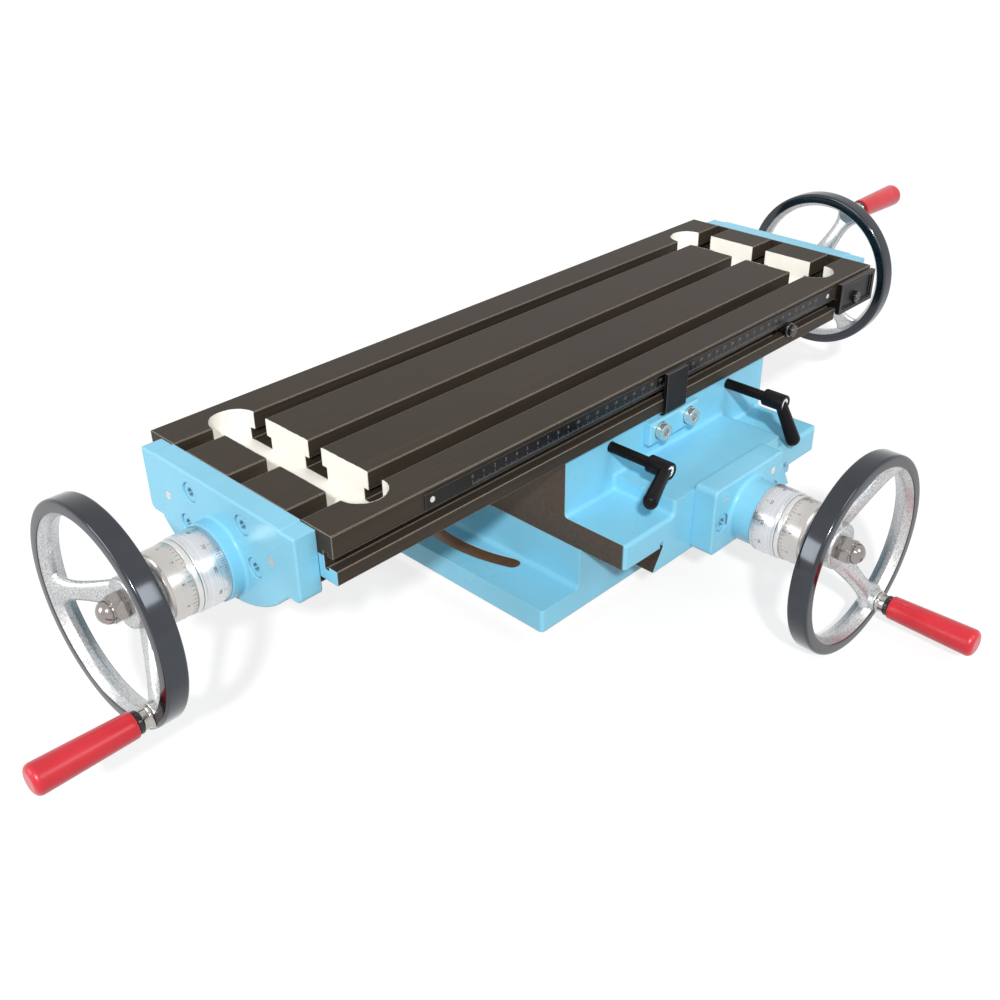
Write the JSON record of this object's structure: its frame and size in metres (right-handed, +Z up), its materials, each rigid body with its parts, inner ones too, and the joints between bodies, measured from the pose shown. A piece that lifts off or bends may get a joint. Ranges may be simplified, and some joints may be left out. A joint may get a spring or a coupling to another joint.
{
  "type": "cross slide table",
  "caption": "Compound cross slide table with a T-slot table, dovetail saddle and base, lead screws turned by dished handwheels, clamp levers and stops.",
  "frame": {"origin": "centre of the base's underside, the face that is bolted to the machine", "axes": "+X along the long table, to the operator's right; -Y towards the operator; +Z up, away from the base's underside"},
  "size_m": [0.9436, 0.4521, 0.1937],
  "materials": {
    "paint": "gloss",
    "iron": "satin",
    "steel": "satin",
    "chrome": "polished",
    "satin_chrome": "satin",
    "bronze": "satin",
    "black": "satin",
    "red": "gloss"
  },
  "bodies": {
    "base": {"base": "paint", "y_gib": "iron", "y_gib_screws": "steel", "y_feed_nut": "bronze", "y_feed_nut_screws": "black"},
    "saddle": {"saddle": "paint", "x_gib": "iron", "x_gib_screws": "steel", "x_feed_nut": "bronze", "x_feed_nut_screws": "black", "front_bracket": "paint", "front_bracket_screws": "black", "front_bracket_dowels": "steel", "front_bush": "bronze", "stop_foot": "paint", "stop_foot_screws": "steel", "stop_blade": "black"},
    "table": {"table": "iron", "end_plate_left": "paint", "end_plate_right": "paint", "end_plate_screws": "black", "end_plate_dowels": "steel", "end_bushes": "bronze", "scale": "black", "scale_screws": "steel"},
    "x_screw": {"x_lead_screw": "steel", "sleeve_left": "satin_chrome", "sleeve_right": "satin_chrome", "handwheel_left": "chrome", "handwheel_right": "chrome", "x_dial_rings": "steel", "x_wheel_keys": "steel", "x_cap_nuts": "chrome", "x_handle_spindles": "steel"},
    "y_screw": {"y_lead_screw": "steel", "sleeve_front": "satin_chrome", "handwheel_front": "chrome", "y_dial_rings": "steel", "y_wheel_keys": "steel", "y_cap_nuts": "chrome", "y_handle_spindles": "steel"},
    "dial_left": {"dial_left": "satin_chrome"},
    "dial_right": {"dial_right": "satin_chrome"},
    "dial_front": {"dial_front": "satin_chrome"},
    "grip_left": {"grip_left": "red"},
    "grip_right": {"grip_right": "red"},
    "grip_front": {"grip_front": "red"},
    "clamp_left": {"clamp_stud_left": "steel", "clamp_lever_left": "black", "clamp_screw_left": "steel"},
    "clamp_right": {"clamp_stud_right": "steel", "clamp_lever_right": "black", "clamp_screw_right": "steel"},
    "limit_stop": {"limit_block": "black", "limit_block_bolt": "steel", "limit_block_nut": "steel"},
    "travel_dog": {"stop_dog": "steel", "stop_dog_bolt": "steel", "stop_dog_nut": "steel"}
  },
  "joints": [
    {"name": "saddle_slide", "type": "slide", "parent": "base", "child": "saddle", "axis": [0, 1, 0], "range_m": [-0.075, 0.075]},
    {"name": "table_slide", "type": "slide", "parent": "saddle", "child": "table", "axis": [1, 0, 0], "range_m": [-0.135, 0.19]},
    {"name": "y_screw_turn", "type": "hinge", "parent": "saddle", "child": "y_screw", "pos_m": [0, 0, 0.0575], "axis": [0, 1, 0], "continuous": true},
    {"name": "x_screw_turn", "type": "hinge", "parent": "table", "child": "x_screw", "pos_m": [0, 0, 0.1012], "axis": [1, 0, 0], "continuous": true},
    {"name": "dial_left_turn", "type": "hinge", "parent": "x_screw", "child": "dial_left", "pos_m": [-0.355, 0, 0.1012], "axis": [1, 0, 0], "continuous": true},
    {"name": "dial_right_turn", "type": "hinge", "parent": "x_screw", "child": "dial_right", "pos_m": [0.315, 0, 0.1012], "axis": [1, 0, 0], "continuous": true},
    {"name": "dial_front_turn", "type": "hinge", "parent": "y_screw", "child": "dial_front", "pos_m": [0, -0.195, 0.0575], "axis": [0, 1, 0], "continuous": true},
    {"name": "grip_left_turn", "type": "hinge", "parent": "x_screw", "child": "grip_left", "pos_m": [-0.466, -0.04349, 0.0529], "axis": [1, 0, 0], "continuous": true},
    {"name": "grip_right_turn", "type": "hinge", "parent": "x_screw", "child": "grip_right", "pos_m": [0.415, -0.02435, 0.16147], "axis": [1, 0, 0], "continuous": true},
    {"name": "grip_front_turn", "type": "hinge", "parent": "y_screw", "child": "grip_front", "pos_m": [0.03445, -0.31, 0.00238], "axis": [0, 1, 0], "continuous": true},
    {"name": "clamp_left_turn", "type": "hinge", "parent": "saddle", "child": "clamp_left", "pos_m": [-0.071, -0.12, 0.1092], "axis": [0, 1, 0], "range_deg": [-60, 60]},
    {"name": "clamp_right_turn", "type": "hinge", "parent": "saddle", "child": "clamp_right", "pos_m": [0.071, -0.12, 0.1092], "axis": [0, 1, 0], "range_deg": [-70, 5]},
    {"name": "limit_stop_slide", "type": "slide", "parent": "table", "child": "limit_stop", "axis": [1, 0, 0], "range_m": [-0.045, 0]},
    {"name": "travel_dog_slide", "type": "slide", "parent": "table", "child": "travel_dog", "axis": [1, 0, 0], "range_m": [0, 0.015]}
  ],
  "couplings": [
    {"joint": "x_screw_turn", "follows": "table_slide", "rad_per_m": 1256.6},
    {"joint": "y_screw_turn", "follows": "saddle_slide", "rad_per_m": 1256.6}
  ]
}
